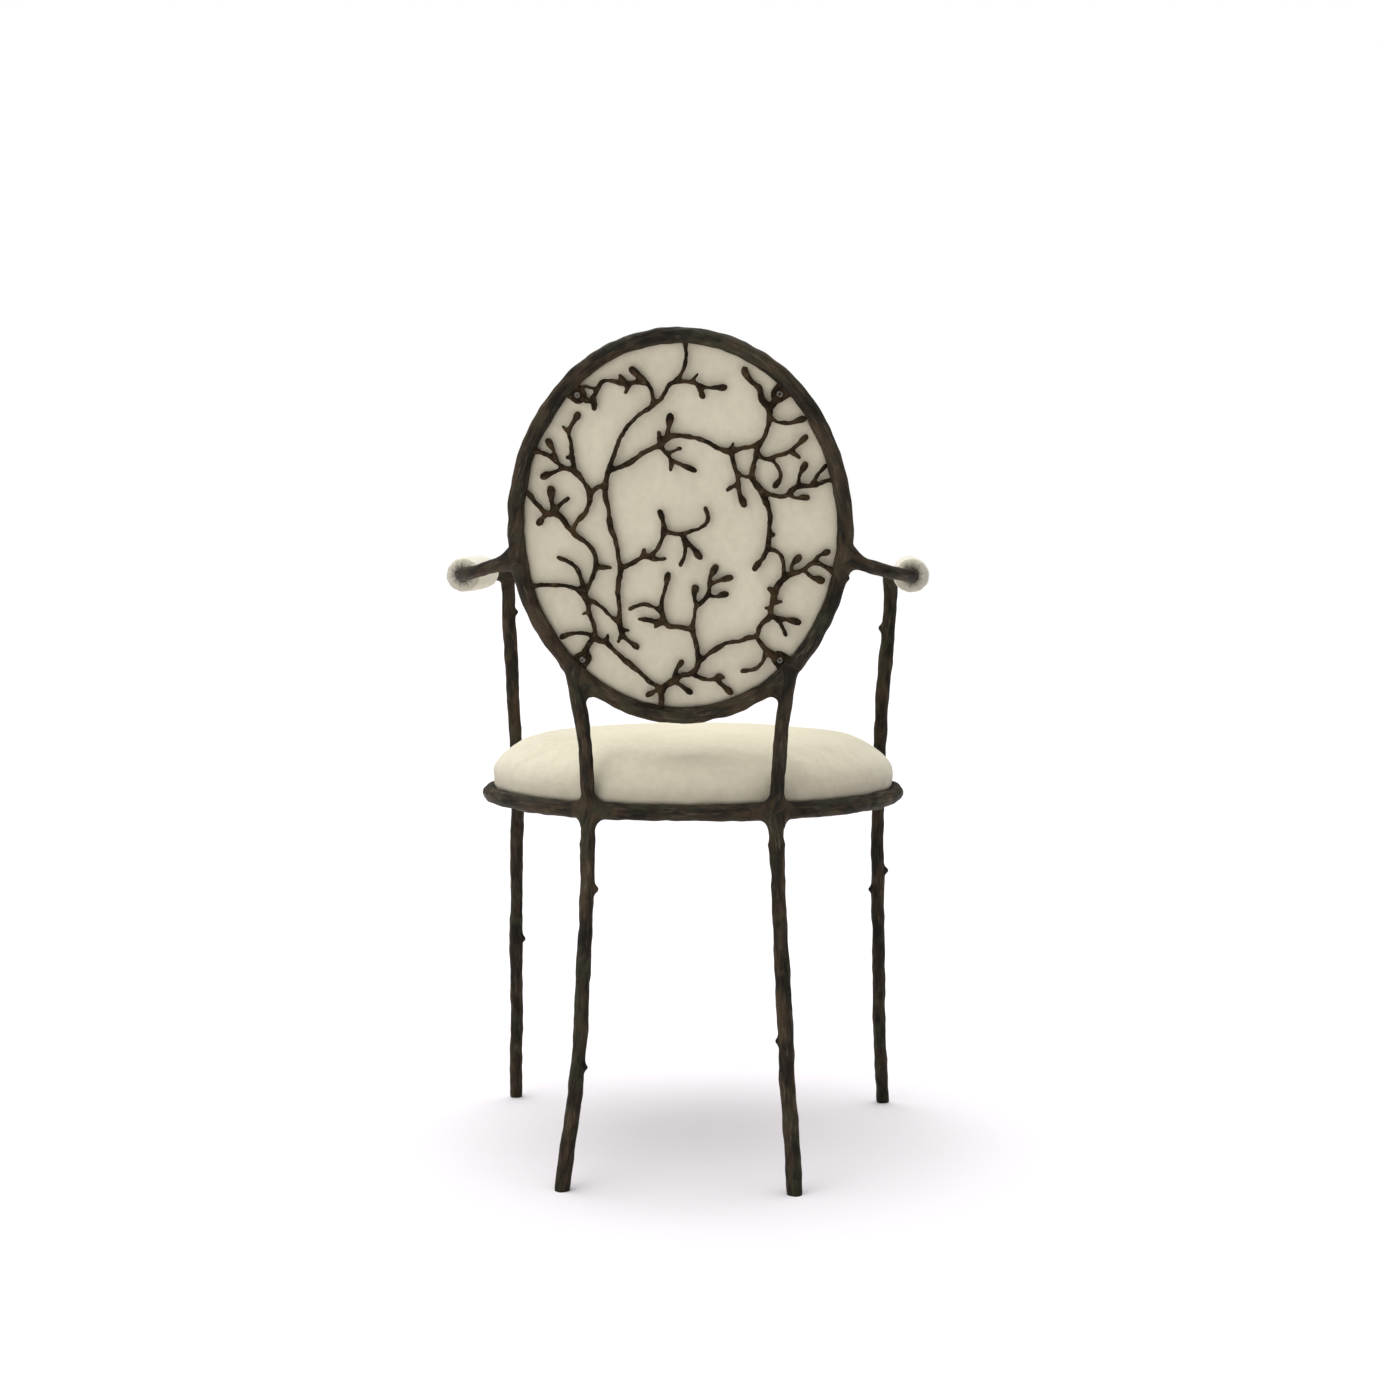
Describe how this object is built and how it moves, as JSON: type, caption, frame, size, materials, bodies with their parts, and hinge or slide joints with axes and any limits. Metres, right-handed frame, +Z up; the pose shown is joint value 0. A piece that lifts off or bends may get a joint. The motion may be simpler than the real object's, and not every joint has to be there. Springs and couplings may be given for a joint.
{
  "type": "dining armchair",
  "caption": "Dining armchair on a metal frame cast as crooked twigs, with an oval padded back behind branch openwork, a round domed seat and padded arm rods.",
  "frame": {"origin": "centre of the chair's outer box, at the floor", "axes": "+Z up, the sitter faces -Y, the sitter's left is +X"},
  "size_m": [0.5648, 0.518, 0.9528],
  "materials": {
    "twig_metal": "dark bronze patina over a bark-grained casting",
    "seat_cloth": "brushed cream upholstery cloth",
    "arm_cloth": "pale cream upholstery cloth, gathered at the ends",
    "board": "plain plywood",
    "screw": "plain steel",
    "dust_cloth": "black non-woven cloth"
  },
  "bodies": {
    "root": {"seat_ring": "twig_metal", "back_ring": "twig_metal", "rear_leg_left": "twig_metal", "rear_leg_right": "twig_metal", "front_leg_left": "twig_metal", "front_leg_right": "twig_metal", "back_upright_left": "twig_metal", "back_upright_right": "twig_metal", "arm_post_left": "twig_metal", "arm_post_right": "twig_metal", "arm_rail_left": "twig_metal", "arm_rail_right": "twig_metal", "seat_tabs": "twig_metal", "branch_crown": "twig_metal", "branch_right_upper": "twig_metal", "branch_bottom": "twig_metal", "branch_left_lower": "twig_metal", "branch_left_middle": "twig_metal", "branch_left_upper": "twig_metal", "branch_right_lower": "twig_metal", "branch_centre": "twig_metal", "branch_heart": "twig_metal", "seat_screws": "screw", "back_screws": "screw", "seat_board": "board", "back_board": "board", "seat_cushion": "seat_cloth", "back_cushion": "seat_cloth", "back_panel": "seat_cloth", "arm_pad_left": "arm_cloth", "arm_pad_right": "arm_cloth", "seat_dust_cover": "dust_cloth"}
  },
  "joints": []
}
